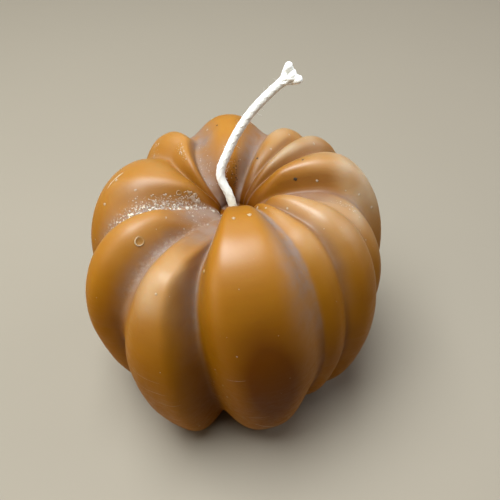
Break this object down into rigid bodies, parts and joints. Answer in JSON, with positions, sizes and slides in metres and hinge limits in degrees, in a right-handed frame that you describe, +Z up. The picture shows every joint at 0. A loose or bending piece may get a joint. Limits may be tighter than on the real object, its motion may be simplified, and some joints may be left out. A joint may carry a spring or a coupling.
{
  "type": "pumpkin-shaped candle",
  "caption": "Small beeswax candle cast as a ribbed pumpkin, with a braided cotton wick standing in the crater at its top and a flat base to stand on.",
  "frame": {"origin": "middle of the flat base, under the middle of the bounding box", "axes": "+Z up through the wick, -Y towards the front, which is the side with the widest rib, +X to the right"},
  "size_m": [0.0656, 0.0661, 0.0742],
  "materials": {
    "beeswax": "raw amber-brown beeswax, slightly see-through, satin, with a grey bloom in the valleys",
    "cotton": "braided bleached cotton, stiff with a little wax, frayed at its cut tip"
  },
  "bodies": {
    "root": {"wax_body": "beeswax", "wick": "cotton"}
  },
  "joints": []
}
